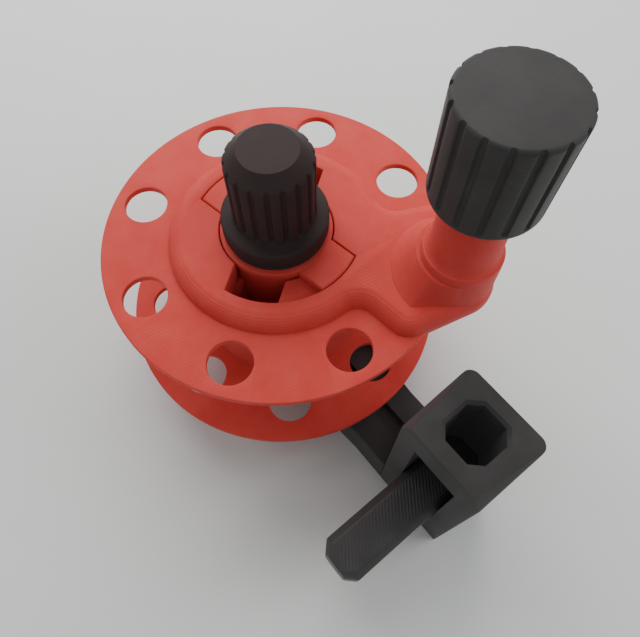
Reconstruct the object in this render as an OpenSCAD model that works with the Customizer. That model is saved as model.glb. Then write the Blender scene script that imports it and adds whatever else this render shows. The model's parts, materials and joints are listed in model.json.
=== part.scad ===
// A plastic fishing reel with a bayonet spool: the crank plate twists onto two lugs of the spool's hub.
// The spool turns on an upright bolt in a flat arm, and a block at the arm's end holds the reel.
// Up is +Z, +X runs from the spool's axis along the arm, and the underside of the arm is at zero.

/* [Spool] */
// Radius of the two round plates
plate_r = 50; // [44:0.5:60]
// Thickness of a plate
plate_t = 2; // [1.6:0.1:3]
// Clear height between the plates
line_gap = 33.7; // [24:0.1:44]
// Outer radius of the drum that the line lies on
drum_r = 27; // [26.5:0.1:30]
// Wall of the drum
drum_wall = 2; // [1.2:0.1:2.4]
// Thickness of the floor inside the drum
floor_t = 5; // [4.4:0.1:8]
// Width left between a hole in the upper plate and the plate's rim
hole_margin = 3.35; // [2.4:0.05:4]
// Number of hole places round a plate
hole_count = 8; // [6:1:8]
// Number of ribs between the drum and the hub
rib_count = 6; // [3:1:8]

/* [Bayonet] */
// Radius of the hub's round top
disc_r = 15.8; // [15.4:0.1:16.4]
// Radius that the lugs reach
lug_r = 23.6; // [21:0.1:23.8]
// Width of a lug
lug_w = 13.6; // [10:0.1:15]
// Thickness of a lug
lug_t = 2.9; // [2:0.1:3.4]
// Turn from the pass slot to the locked place, in degrees
twist = 65; // [58:0.5:72]
// Gap between a lug and the edges round it
lug_gap = 0.3; // [0.2:0.05:0.5]

/* [Crank plate] */
// Height of the crown above the plate
crown_h = 4.5; // [4:0.1:6]
// Radius of the crown's foot
crown_r = 31; // [30:0.1:32.5]
// Width of the crown's rounded edge
crown_edge = 4.7; // [3:0.1:5]
// Half the angle of the fan that carries the handle, in degrees
fan_angle = 28.3; // [26:0.1:31]
// Direction of the handle seen from above, in degrees
handle_angle = 35.3; // [30:0.1:40]
// Angle of the fan's outer edges to the handle's direction, in degrees
edge_angle = 41; // [38:0.5:44]
// Distance of the handle's axis outside the plate's rim
handle_out = 0.3; // [0:0.1:1]
// Radius of the lobe round the handle
lobe_r = 11.5; // [11:0.1:12]
// Height of the handle's collar above the plate
collar_h = 15.5; // [13:0.1:18]
// Radius of the handle's collar
collar_r = 10.6; // [10.2:0.1:10.9]
// Radius of the post at its foot
post_r = 9.1; // [8.6:0.1:9.8]
// Height of the post above the plate
post_h = 37.2; // [34:0.1:44]

/* [Winding knob] */
// Radius of the winding knob at its foot
knob_r = 13.3; // [12.8:0.1:16]
// Radius of the winding knob under its bevel
knob_top_r = 13.4; // [12.2:0.1:15]
// Height of the winding knob
knob_h = 26.6; // [22:0.1:34]
// Bevel at the winding knob's top
knob_bevel = 1.4; // [1.2:0.1:3]
// Flutes round the winding knob
knob_flutes = 16; // [12:1:20]
// Width of a flute
flute_w = 2; // [1.6:0.1:2.4]
// Depth of a flute
flute_d = 1; // [0.6:0.1:1.2]

/* [Drag knob] */
// Radius of the drag knob's grip
drag_r = 11.3; // [10.6:0.1:12.5]
// Height of the drag knob
drag_h = 29.6; // [28:0.1:36]
// Radius of the drag knob's collar
drag_collar_r = 14.7; // [13.5:0.1:15.2]
// Height of the drag knob's collar
drag_collar_h = 4; // [3:0.1:6]
// Bevel at the drag knob's top
drag_bevel = 3.7; // [2:0.1:4.2]
// Flutes round the drag knob
drag_flutes = 18; // [12:1:18]
// Thickness of the felt drag washer
felt_t = 1; // [0.6:0.1:1.4]
// Thickness of the steel pressure washer
pressure_t = 0.6; // [0.5:0.1:1.2]

/* [Arm and block] */
// Width of the arm
arm_w = 22; // [20:0.5:28]
// Height of the arm
arm_h = 16; // [15:0.1:20]
// Radius of the arm's round end under the spool
pad_r = 15; // [13:0.5:24]
// Width of the groove along the arm's top
groove_w = 5; // [3:0.1:6]
// Depth of that groove
groove_d = 2; // [1:0.1:3]
// Distance from the spool's axis to the block
block_x = 63.8; // [63.6:0.1:70]
// Length of the block along the arm
block_l = 25.6; // [23:0.1:32]
// Height of the block
block_h = 62.5; // [56:0.1:70]
// Width of the slopes on the block's upper edges, at their near ends
block_chamfer = 3; // [1:0.1:3.6]
// Radius of the block's two far upright corners
block_corner = 2.8; // [1:0.1:3.4]
// Width of the rod socket across its flats
socket_w = 13; // [11.5:0.1:14]
// Cut across each corner of the socket
socket_corner = 3; // [2:0.1:3.6]
// Depth of the rod socket
socket_depth = 28.5; // [22:0.1:29]
// Bevel round the socket's mouth
socket_bevel = 0.8; // [0.4:0.1:1.2]

/* [Peg] */
// Width and height of the peg
peg_w = 13.4; // [10:0.1:14]
// Length of the peg
peg_l = 49; // [36:0.5:60]
// Length of the peg that stands out of the block
peg_out = 30.5; // [20:0.1:34]
// Cut along the peg's edges
peg_edge = 2; // [1:0.1:2.6]
// Gap round the peg in its slot
peg_gap = 0.2; // [0.1:0.05:0.3]
// Height of the slot's head above the peg
slot_head = 21.5; // [10:0.1:24]

/* [Bolts] */
// Radius of the spindle bolt
bolt_r = 4; // [3.5:0.1:4.4]
// Reach of the spindle bolt above the hub's top
bolt_reach = 24; // [20:0.1:26]
// Radius of the handle bolt
pin_r = 3; // [2.5:0.1:3.4]
// Running clearance of the bushes on their bolts
run_gap = 0.06; // [0.03:0.01:0.1]

/* [Hidden] */
$fn = 96;
touch = 0.05;
apart = 0.3;
rest_gap = 0.1;

// Levels of the spool, from the arm upwards
thrust_t = 1.2;
low_z = arm_h + thrust_t + rest_gap;
low_top = low_z + plate_t;
plate_z = low_top + line_gap;
plate_top = plate_z + plate_t;
crown_top = plate_top + crown_h;
lug_z = crown_top - lug_t;
seat_z = lug_z - rest_gap;
floor_top = low_z + floor_t;
hub_r = disc_r - 0.4;
lug_angle = handle_angle - 90 + twist;

// Holes in the plates: the upper ones lie outside the crown, the lower ones outside the drum
hole_ring_r = (plate_r + crown_r) / 2;
hole_r = (plate_r - crown_r) / 2 - hole_margin;
low_ring_r = drum_r + (plate_r - drum_r) * 0.45;
low_hole_r = (plate_r - drum_r) * 0.287;

// Bolt, bush and nut sizes
head_r = bolt_r * 1.83;
head_h = bolt_r * 1.35;
head_z = 0;
nut_r = bolt_r * 1.83;
nut_h = bolt_r * 1.35;
bush_wall = 2;
bush_r = bolt_r + run_gap + bush_wall;
bush_flange_r = bush_r + 2.5;
bush_flange_t = 1.5;
bush_l = 12;
screw_r = 1.5;
screw_head_r = 2.9;
screw_ring = hub_r - 4.4;
screw_l = floor_t + 7;
screw_sink = 0.4;

// Drag stack above the hub
felt_r = drag_collar_r - 0.5;
drag_z = crown_top + felt_t + pressure_t;
insert_r = bolt_r + 1.7;
insert_l = 14;
drag_top = drag_z + drag_h;
bolt_top = crown_top + bolt_reach;

// Handle post and winding knob
handle_arm = plate_r + handle_out;
handle_x = handle_arm * cos(handle_angle);
handle_y = handle_arm * sin(handle_angle);
ramp_r = lobe_r + 4.8;
ramp_h = 8.2;
post_top = plate_top + post_h;
post_top_r = post_r - 0.5;
pin_head_r = pin_r * 1.92;
pin_head_h = pin_r * 1.33;
pin_nut_r = pin_r * 1.92;
pin_nut_h = pin_r * 1.67;
knob_z = post_top + apart;
knob_top = knob_z + knob_h;
knob_bush_wall = 1.5;
knob_bush_r = pin_r + run_gap + knob_bush_wall;
cap_t = 2.5;
cap_r = knob_top_r - knob_bevel - 0.4;
well_r = pin_nut_r + 1.2;
pin_nut_gap = 0.8;
knob_washer_t = 0.8;
well_h = cap_t + pin_nut_gap + pin_nut_h + knob_washer_t + apart;
knob_bush_l = knob_h - well_h;
washer_z = knob_z + knob_bush_l + apart;
lock_nut_z = washer_z + knob_washer_t;
pin_top = lock_nut_z + pin_nut_h;

// Block, socket and peg
arm_end = block_x;
socket_x = block_x + block_l / 2;
socket_z = block_h - socket_depth;
tenon_l = 16;
tenon_w = 14;
tenon_floor = 3;
tenon_h = 10;
arm_screw_r = 2;
arm_screw_head_r = 3.8;
peg_z = arm_h + 0.7;
peg_end_y = -arm_w / 2 - peg_out;
slot_l = peg_l - peg_out + apart;
slot_w = peg_w + 2 * peg_gap;
slot_top = peg_z + peg_w + slot_head;

RED = [0.78, 0.27, 0.23];
BLACK = [0.2, 0.19, 0.19];
STEEL = [0.72, 0.73, 0.75];
BRASS = [0.78, 0.62, 0.33];
NYLON = [0.9, 0.88, 0.82];
FELT = [0.55, 0.55, 0.52];

// Shared shapes

// Points of an arc, from angle a to angle b; an arc that goes on from another leaves its first point out
function arc(centre, r, a, b, steps, first = 0) =
    [for (i = [first:steps]) let (t = a + (b - a) * i / steps) centre + r * [cos(t), sin(t)]];

function mirrored(points) = [for (i = [len(points) - 1:-1:0]) [points[i][0], -points[i][1]]];

// Outline of the crown with its handle fan along +X, drawn in by a distance
FILLET_FOOT = 5;
FILLET_RIM = 6;
function half_outline(inset) =
    let (foot_turn = asin(FILLET_FOOT / (crown_r + FILLET_FOOT)),
        foot_at = -(fan_angle + foot_turn),
        foot_c = (crown_r + FILLET_FOOT) * [cos(foot_at), sin(foot_at)],
        side = [sin(fan_angle), cos(fan_angle)],
        out = [sin(edge_angle), -cos(edge_angle)],
        reach = lobe_r - FILLET_RIM + handle_arm * out[0],
        spread = side[0] * out[1] - side[1] * out[0],
        rim_c = [FILLET_RIM * out[1] - side[1] * reach, side[0] * reach - FILLET_RIM * out[0]] / spread)
    concat(
        arc([0, 0], crown_r - inset, -180, foot_at, 40),
        arc(foot_c, FILLET_FOOT + inset, foot_at + 180, 90 - fan_angle, 8, 1),
        arc(rim_c, FILLET_RIM - inset, -90 - fan_angle, edge_angle - 90, 12),
        arc([handle_arm, 0], lobe_r - inset, edge_angle - 90, -2, 18));
function crown_outline(inset) =
    let (half = half_outline(inset))
    concat(half, mirrored([for (i = [1:len(half) - 1]) half[i]]));

// A body made of level rings of points, closed at each end by a flat fan round a point on the X axis
module ring_body(rings, fan_x) {
    n = len(rings[0]);
    last = len(rings) - 1;
    walls = [for (k = [0:last - 1]) for (i = [0:n - 1]) let (j = (i + 1) % n)
        each [[k * n + i, (k + 1) * n + i, (k + 1) * n + j], [k * n + i, (k + 1) * n + j, k * n + j]]];
    low = n * len(rings);
    ends = [for (i = [0:n - 1]) let (j = (i + 1) % n)
        each [[i, j, low], [last * n + j, last * n + i, low + 1]]];
    middles = [[fan_x, 0, rings[0][0][2]], [fan_x, 0, rings[last][0][2]]];
    polyhedron(points = concat([for (ring = rings) each ring], middles), faces = concat(walls, ends), convexity = 8);
}

module ring(outer, inner, z, h) {
    translate([0, 0, z])
        difference() {
            cylinder(r = outer, h = h);
            translate([0, 0, -1])
                cylinder(r = inner, h = h + 2);
        }
}

module hexagon(across, z, h) {
    translate([0, 0, z])
        cylinder(r = across, h = h, $fn = 6);
}

module round_places(count, radius, phase) {
    for (i = [0:count - 1])
        rotate(phase + 360 / count * i)
            translate([radius, 0, 0])
                children();
}

module at_handle() {
    translate([handle_x, handle_y, 0])
        rotate(handle_angle)
            children();
}

// A countersunk screw, head down, with its head's face at z
module sunk_screw(r, head, z, length) {
    translate([0, 0, z])
        rotate_extrude()
            polygon([[0, 0], [head, 0], [r, head - r], [r, length], [0, length]]);
}

module sunk_hole(r, head, z, length) {
    translate([0, 0, z - 1])
        cylinder(r = head + rest_gap, h = 1 + touch);
    sunk_screw(r, head + rest_gap, z, length);
}

// A square with cut corners, standing along Z from z
module cut_square(w, corner, z, h) {
    translate([0, 0, z])
        linear_extrude(h)
            polygon([[w / 2 - corner, -w / 2], [w / 2, -w / 2 + corner], [w / 2, w / 2 - corner],
                [w / 2 - corner, w / 2], [-w / 2 + corner, w / 2], [-w / 2, w / 2 - corner],
                [-w / 2, -w / 2 + corner], [-w / 2 + corner, -w / 2]]);
}

// What a slope takes off a top edge that runs l along +Y: c wide at the near end, nothing at the far end
module slope_waste(c, l) {
    m = 1;
    near = c * (l + m) / l + m;
    far = m - c * m / l;
    polyhedron(points = [[-m, -m, -near], [near, -m, m], [-m, -m, m],
            [-m, l + m, -far], [far, l + m, m], [-m, l + m, m]],
        faces = [[0, 2, 1], [3, 4, 5], [0, 1, 4, 3], [0, 3, 5, 2], [1, 2, 5, 4]]);
}

// The waste outside an upright rounded corner at the origin, for a block that lies towards +X and +Y
module corner_waste(r, z, h) {
    translate([0, 0, z])
        linear_extrude(h)
            polygon(concat(arc([r, r], r + rest_gap, 180, 270, 8), [[r, -1], [-1, -1], [-1, r]]));
}

// Upright grooves round a knob that leans in by a given angle
module flutes(count, radius, lean, width, depth, z, h) {
    for (i = [0:count - 1])
        rotate(360 / count * i)
            translate([radius, 0, z])
                rotate([0, -lean, 0])
                    translate([-depth, -width / 2, 0])
                        cube([depth + 3, width, h]);
}

// Frame: arm, block, spindle

module frame_arm() {
    color(BLACK)
        difference() {
            union() {
                cylinder(r = pad_r, h = arm_h);
                translate([0, -arm_w / 2, 0])
                    cube([arm_end, arm_w, arm_h]);
                translate([arm_end - touch, -tenon_w / 2, tenon_floor])
                    cube([tenon_l + touch, tenon_w, tenon_h]);
            }
            translate([pad_r + 4, -groove_w / 2, arm_h - groove_d])
                cube([arm_end - pad_r, groove_w, groove_d + 1]);
            translate([0, 0, -1])
                cylinder(r = bolt_r + rest_gap, h = arm_h + 2);
            hexagon(head_r + rest_gap, -1, 1 + head_z + head_h);
            hexagon(nut_r + rest_gap, arm_h - nut_h - rest_gap, nut_h + 1);
            for (x = [arm_end + tenon_l * 0.25, arm_end + tenon_l * 0.75])
                translate([x, 0, tenon_floor - 1])
                    cylinder(r = arm_screw_r, h = tenon_h - 1);
        }
}

module mount_block() {
    half = arm_w / 2;
    color(BLACK)
        difference() {
            translate([block_x, half, 0])
                rotate([90, 0, 0])
                    linear_extrude(arm_w)
                        square([block_l, block_h]);
            translate([socket_x, 0, 0]) {
                cut_square(socket_w, socket_corner, socket_z, socket_depth + 1);
                cut_square(socket_w + socket_bevel * 2, socket_corner + socket_bevel * 0.6,
                    block_h - socket_bevel, socket_bevel + 1);
            }
            translate([socket_x - slot_w / 2, -half - 1, peg_z - rest_gap])
                cube([slot_w, slot_l + 1, peg_w + rest_gap + peg_gap]);
            translate([socket_x - slot_w / 2, -half - 1, peg_z])
                cube([slot_w, half + 1, slot_top - peg_z]);
            translate([block_x - 1, -tenon_w / 2 - rest_gap, tenon_floor - rest_gap])
                cube([tenon_l + 1 + apart, tenon_w + 2 * rest_gap, tenon_h + 2 * rest_gap]);
            translate([block_x, half, 0])
                mirror([0, 1, 0])
                    corner_waste(block_corner, arm_h, block_h);
            translate([block_x + block_l, half, 0])
                rotate(180)
                    corner_waste(block_corner, -1, block_h + 2);
            translate([block_x, -half, block_h])
                slope_waste(block_chamfer, arm_w);
            translate([block_x + block_l, -half, block_h])
                mirror([1, 0, 0])
                    slope_waste(block_chamfer, arm_w);
            for (x = [arm_end + tenon_l * 0.25, arm_end + tenon_l * 0.75])
                translate([x, 0, 0])
                    sunk_hole(arm_screw_r + rest_gap, arm_screw_head_r, 0.3, tenon_floor + 1);
        }
}

module arm_screws() {
    color(STEEL)
        for (x = [arm_end + tenon_l * 0.25, arm_end + tenon_l * 0.75])
            translate([x, 0, 0])
                difference() {
                    sunk_screw(arm_screw_r, arm_screw_head_r, screw_sink, tenon_floor + tenon_h - 4);
                    hexagon(arm_screw_r * 0.75, -1, 1 + screw_sink + arm_screw_r * 0.5);
                }
}

module spindle_bolt() {
    color(STEEL) {
        hexagon(head_r, head_z, head_h);
        translate([0, 0, head_z + head_h - touch])
            cylinder(r = bolt_r, h = bolt_top - head_z - head_h + touch - 1);
        translate([0, 0, bolt_top - 1 - touch])
            cylinder(r1 = bolt_r, r2 = bolt_r - 1, h = 1 + touch);
    }
}

module spindle_nut() {
    color(STEEL)
        difference() {
            hexagon(nut_r, arm_h - nut_h, nut_h);
            translate([0, 0, arm_h - nut_h - 1])
                cylinder(r = bolt_r, h = nut_h + 2);
        }
}

module thrust_washer() {
    color(NYLON)
        ring(pad_r - 2, bolt_r + run_gap, arm_h, thrust_t);
}

// Spool: drum with its lower plate, bayonet hub, bushes

module spool_drum() {
    color(RED)
        difference() {
            union() {
                translate([0, 0, low_z])
                    cylinder(r = plate_r, h = plate_t);
                translate([0, 0, low_z])
                    cylinder(r = drum_r, h = plate_z - rest_gap - low_z);
            }
            difference() {
                translate([0, 0, floor_top])
                    cylinder(r = drum_r - drum_wall, h = plate_z);
                for (i = [0:rib_count - 1])
                    rotate(lug_angle + 360 / rib_count * (i + 0.5))
                        translate([0, -1, floor_top - 1])
                            cube([drum_r, 2, plate_z - 2 - floor_top]);
            }
            translate([0, 0, floor_top])
                cylinder(r = hub_r + rest_gap, h = plate_z);
            translate([0, 0, low_z - 1])
                cylinder(r = bush_flange_r + rest_gap, h = floor_t + 2);
            round_places(hole_count, low_ring_r, lug_angle)
                translate([0, 0, low_z - 1])
                    cylinder(r = low_hole_r, h = plate_t + 2);
            round_places(4, screw_ring, lug_angle + 45)
                sunk_hole(screw_r + rest_gap, screw_head_r, low_z + 0.3, floor_t + 1);
        }
}

module bayonet_hub() {
    color(RED)
        difference() {
            union() {
                translate([0, 0, floor_top])
                    cylinder(r = hub_r, h = crown_top - 0.5 - floor_top);
                translate([0, 0, lug_z + 0.5])
                    cylinder(r = disc_r, h = lug_t - 0.5);
                rotate(lug_angle)
                    intersection() {
                        translate([-lug_r - 1, -lug_w / 2, lug_z])
                            cube([lug_r * 2 + 2, lug_w, lug_t - rest_gap]);
                        rotate(90)
                            translate([0, 0, lug_z - 1])
                                cylinder(r = lug_r, h = lug_t + 2);
                    }
            }
            translate([0, 0, floor_top - 1])
                cylinder(r = bush_r, h = crown_top);
            translate([0, 0, floor_top - 1])
                cylinder(r = bush_flange_r + rest_gap, h = bush_flange_t + 1);
            translate([0, 0, crown_top - bush_flange_t])
                cylinder(r = bush_flange_r + rest_gap, h = bush_flange_t + 1);
            round_places(4, screw_ring, lug_angle + 45)
                translate([0, 0, floor_top - 1])
                    cylinder(r = screw_r, h = screw_l - floor_t + 1);
        }
}

module hub_screws() {
    color(STEEL)
        round_places(4, screw_ring, lug_angle + 45)
            difference() {
                sunk_screw(screw_r, screw_head_r, low_z + screw_sink, screw_l - 1);
                hexagon(screw_r * 0.75, low_z - 1, 1 + screw_sink + screw_r * 0.8);
            }
}

module bush(z, flange_z) {
    color(BRASS)
        difference() {
            union() {
                translate([0, 0, z])
                    cylinder(r = bush_r, h = bush_l);
                translate([0, 0, flange_z])
                    cylinder(r = bush_flange_r, h = bush_flange_t);
            }
            translate([0, 0, z - 1])
                cylinder(r = bolt_r + run_gap, h = bush_l + 2);
        }
}

module lower_bush() {
    difference() {
        bush(floor_top, floor_top);
    }
}

module upper_bush() {
    bush(crown_top - bush_l, crown_top - bush_flange_t);
}

module drag_felt() {
    color(FELT)
        ring(felt_r, bolt_r + apart, crown_top, felt_t);
}

// Crank plate with its crown, bayonet windows and handle post

module crown() {
    steps = 7;
    straight = [crown_outline(0), crown_outline(0)];
    rounded = [for (k = [1:steps]) crown_outline(crown_edge * (1 - cos(90 * k / steps)))];
    foot_z = plate_top - 0.4;
    levels = concat([plate_z + 0.2, foot_z],
        [for (k = [1:steps]) foot_z + (crown_h + 0.4) * sin(90 * k / steps)]);
    outlines = concat(straight, rounded);
    rotate(handle_angle)
        ring_body([for (k = [0:len(levels) - 1]) [for (p = outlines[k]) [p[0], p[1], levels[k]]]],
            disc_r * 0.95);
}

module handle_foot() {
    intersection() {
        at_handle()
            translate([0, 0, plate_top + crown_h - 1]) {
                cylinder(r = ramp_r + 0.8, h = 1 + touch);
                translate([0, 0, 1])
                    cylinder(r1 = ramp_r, r2 = lobe_r, h = ramp_h);
            }
        rotate(handle_angle)
            translate([0, 0, plate_z])
                linear_extrude(collar_h + 10)
                    polygon(crown_outline(crown_edge / 2));
    }
}

module handle_post() {
    at_handle()
        rotate_extrude()
            polygon([[0, plate_z + 0.35], [lobe_r - 0.6, plate_z + 0.35], [collar_r, plate_top + collar_h],
                [post_r, plate_top + collar_h + 2.2], [post_top_r, post_top - 0.6],
                [post_top_r - 0.6, post_top], [0, post_top]]);
}

// The room that the lugs need above their seat, from the pass slot to their locked place
module lug_room() {
    room_r = lug_r + lug_gap;
    half = lug_w / 2 + lug_gap;
    reach = asin(half / room_r);
    for (side = [0, 180])
        rotate(handle_angle - 90 + side)
            translate([0, 0, seat_z])
                linear_extrude(lug_t + 2)
                    polygon(concat([[0, -half]], arc([0, 0], room_r, -reach, twist + reach, 30),
                        [half * [-sin(twist), cos(twist)]]));
}

// The slots that the lugs pass through
module lug_pass() {
    pass_w = lug_w + 2 * lug_gap - 0.1;
    rotate(handle_angle - 90)
        intersection() {
            translate([-plate_r, -pass_w / 2, plate_z - 1])
                cube([2 * plate_r, pass_w, plate_t + crown_h + 3]);
            rotate(90)
                translate([0, 0, plate_z - 2])
                    cylinder(r = lug_r + lug_gap - 0.1, h = plate_t + crown_h + 5);
        }
}

module crank_plate() {
    color(RED)
        difference() {
            union() {
                translate([0, 0, plate_z])
                    cylinder(r = plate_r, h = plate_t);
                crown();
                handle_foot();
                handle_post();
            }
            for (i = [1:hole_count - 1])
                rotate(handle_angle + 360 / hole_count * i)
                    translate([hole_ring_r, 0, plate_z - 1])
                        cylinder(r = hole_r, h = plate_t + 2);
            rotate(handle_angle + 30)
                translate([0, 0, plate_z - 1])
                    cylinder(r = disc_r + lug_gap, h = crown_h + plate_t + 2);
            lug_pass();
            lug_room();
            at_handle() {
                translate([0, 0, plate_z - 1])
                    cylinder(r = pin_r + rest_gap, h = post_h + plate_t + 2);
                hexagon(pin_head_r + rest_gap, plate_z - 1, 1 + 0.4 + pin_head_h);
                hexagon(pin_nut_r + rest_gap, post_top - pin_nut_h - rest_gap, pin_nut_h + 1);
            }
        }
}

module handle_bolt() {
    color(STEEL)
        at_handle() {
            hexagon(pin_head_r, plate_z + 0.4, pin_head_h);
            translate([0, 0, plate_z + 0.4 + pin_head_h - touch])
                cylinder(r = pin_r, h = pin_top - plate_z - 0.4 - pin_head_h + touch + 0.5);
        }
}

module hex_nut(across, bore, z, h) {
    color(STEEL)
        at_handle()
            difference() {
                hexagon(across, z, h);
                translate([0, 0, z - 1])
                    cylinder(r = bore, h = h + 2);
            }
}

module handle_nut() {
    hex_nut(pin_nut_r, pin_r, post_top - pin_nut_h, pin_nut_h);
}

module knob_washer() {
    color(STEEL)
        at_handle()
            ring(well_r - apart, pin_r, washer_z, knob_washer_t);
}

module knob_lock_nut() {
    hex_nut(pin_nut_r, pin_r, lock_nut_z, pin_nut_h);
}

// Winding knob, free to turn on the handle bolt

module winding_knob() {
    side_h = knob_h - knob_bevel;
    lean = atan((knob_r - knob_top_r) / side_h);
    color(BLACK)
        at_handle()
            difference() {
                translate([0, 0, knob_z])
                    rotate_extrude()
                        polygon([[0, 0], [knob_r - 0.5, 0], [knob_r, 0.5], [knob_top_r, side_h],
                            [knob_top_r - knob_bevel, knob_h], [0, knob_h]]);
                flutes(knob_flutes, knob_r - (knob_r - knob_top_r) * 0.1, lean, flute_w, flute_d,
                    knob_z + 1.2, knob_h);
                translate([0, 0, knob_z - 1])
                    cylinder(r = knob_bush_r, h = knob_h);
                translate([0, 0, knob_z + knob_bush_l])
                    cylinder(r = well_r, h = well_h + 1);
                translate([0, 0, knob_top - cap_t])
                    cylinder(r = cap_r + rest_gap, h = cap_t + 1);
            }
}

module knob_bush() {
    color(BRASS)
        at_handle()
            ring(knob_bush_r, pin_r + run_gap, knob_z, knob_bush_l);
}

module knob_cap() {
    color(BLACK)
        at_handle()
            translate([0, 0, knob_top - cap_t])
                cylinder(r = cap_r, h = cap_t);
}

// Drag: pressure washer and threaded knob on the spindle

module pressure_washer() {
    color(STEEL)
        ring(felt_r - 1, bolt_r + apart, crown_top + felt_t, pressure_t);
}

module drag_knob() {
    grip = drag_h - drag_bevel;
    color(BLACK)
        difference() {
            translate([0, 0, drag_z])
                rotate_extrude()
                    polygon([[0, 0], [drag_collar_r - 0.5, 0], [drag_collar_r, 0.5],
                        [drag_collar_r, drag_collar_h - 1.5], [drag_collar_r - 1.5, drag_collar_h],
                        [drag_r + 1, drag_collar_h], [drag_r, drag_collar_h + 1], [drag_r, grip],
                        [drag_r - drag_bevel, drag_h], [0, drag_h]]);
            flutes(drag_flutes, drag_r, 0, flute_w * 0.93, flute_d * 0.9, drag_z + drag_collar_h + 2,
                drag_h - drag_collar_h);
            translate([0, 0, drag_z - 1])
                cylinder(r = insert_r, h = insert_l + 1);
            translate([0, 0, drag_z - 1])
                cylinder(r = bolt_r + apart, h = bolt_reach + 1.4);
        }
}

module drag_insert() {
    color(BRASS)
        ring(insert_r, bolt_r + run_gap, drag_z, insert_l);
}

// Peg that slides in the block

module foot_peg() {
    color(BLACK)
        intersection() {
            translate([socket_x, peg_end_y, peg_z + peg_w / 2])
                rotate([-90, 0, 0])
                    cut_square(peg_w, peg_edge, 0, peg_l);
            translate([socket_x, peg_end_y, peg_z - 1])
                linear_extrude(peg_w + 2)
                    polygon([[-peg_w / 2 + peg_edge * 1.4, 0], [peg_w / 2 - peg_edge * 1.4, 0],
                        [peg_w / 2, peg_edge * 1.4], [peg_w / 2 + 1, peg_edge * 1.4],
                        [peg_w / 2 + 1, peg_l + 1], [-peg_w / 2 - 1, peg_l + 1],
                        [-peg_w / 2 - 1, peg_edge * 1.4], [-peg_w / 2, peg_edge * 1.4]]);
        }
}

frame_arm();
mount_block();
arm_screws();
spindle_bolt();
spindle_nut();
thrust_washer();
spool_drum();
bayonet_hub();
hub_screws();
lower_bush();
upper_bush();
drag_felt();
crank_plate();
handle_bolt();
handle_nut();
knob_washer();
knob_lock_nut();
winding_knob();
knob_bush();
knob_cap();
pressure_washer();
drag_knob();
drag_insert();
foot_peg();
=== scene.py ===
import json
from math import acos, asin, atan2, cos, hypot, pi, radians, sin

import bmesh
import bpy
from bpy.props import FloatProperty, FloatVectorProperty, IntProperty, PointerProperty, StringProperty
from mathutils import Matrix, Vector


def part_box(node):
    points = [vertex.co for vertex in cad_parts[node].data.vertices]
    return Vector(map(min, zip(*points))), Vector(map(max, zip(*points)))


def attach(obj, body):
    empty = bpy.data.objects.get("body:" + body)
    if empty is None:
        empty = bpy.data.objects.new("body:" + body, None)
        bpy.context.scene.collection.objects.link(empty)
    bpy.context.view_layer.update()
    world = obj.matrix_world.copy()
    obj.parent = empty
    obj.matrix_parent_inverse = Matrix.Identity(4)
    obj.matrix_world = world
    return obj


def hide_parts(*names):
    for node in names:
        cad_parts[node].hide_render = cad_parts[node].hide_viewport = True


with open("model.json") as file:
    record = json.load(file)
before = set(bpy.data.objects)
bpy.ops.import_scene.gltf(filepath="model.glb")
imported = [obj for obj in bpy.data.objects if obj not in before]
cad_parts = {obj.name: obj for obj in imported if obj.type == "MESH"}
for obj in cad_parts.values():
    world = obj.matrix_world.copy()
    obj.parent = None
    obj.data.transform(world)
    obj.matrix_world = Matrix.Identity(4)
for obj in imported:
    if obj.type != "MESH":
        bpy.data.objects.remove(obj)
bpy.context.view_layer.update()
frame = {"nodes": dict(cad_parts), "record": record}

bl_info = {
    "name": "Bayonet spool fishing reel",
    "version": (1, 0, 0),
    "blender": (4, 5, 0),
    "location": "View3D > Sidebar > Reel",
    "description": "Dresses the CAD model of a printed fishing reel with finer pieces and printed finishes",
    "category": "Add Mesh",
}

MM = 0.001

# Sizes that two pieces share
PLATE_EASE = 0.45 * MM
TENON_HALF = 7 * MM
TENON_LOW = 3 * MM
TENON_HIGH = 13 * MM
TENON_GAP = 0.1 * MM


def joint_place(name):
    """Where a joint's axis stands, in metres."""
    for joint in frame["record"]["behaviour"]["joints"]:
        if joint["name"] == name:
            return Vector(joint["pos_m"])
    raise RuntimeError("no joint called " + name)


def low(name):
    """The lowest corner of a CAD node's box."""
    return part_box(name)[0]


def high(name):
    """The highest corner of a CAD node's box."""
    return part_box(name)[1]


# Heights that the CAD model gives, in metres
PLATE_LOW = low("crank_plate")[2]
CROWN_TOP = high("bayonet_hub")[2]
SPOOL_LOW = low("spool_drum")[2]
SPOOL_TOP = high("spool_drum")[2]
HUB_LOW = low("bayonet_hub")[2]
POST_TOP = high("crank_plate")[2]
HANDLE = joint_place("winding_knob_spin")
HANDLE_TURN = atan2(HANDLE.y, HANDLE.x)
HANDLE_ARM = hypot(HANDLE.x, HANDLE.y)


# Sizes and colours that a user may change

def length(name, description, size):
    """A length, with its default given in millimetres."""
    return FloatProperty(name=name, description=description, default=size * MM, unit="LENGTH")


def angle_property(name, description, degrees):
    """An angle, with its default given in degrees."""
    return FloatProperty(name=name, description=description, default=radians(degrees), subtype="ANGLE")


def colour_property(name, description, code):
    """A colour, as an sRGB hex code."""
    return StringProperty(name=name, description=description, default=code)


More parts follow.
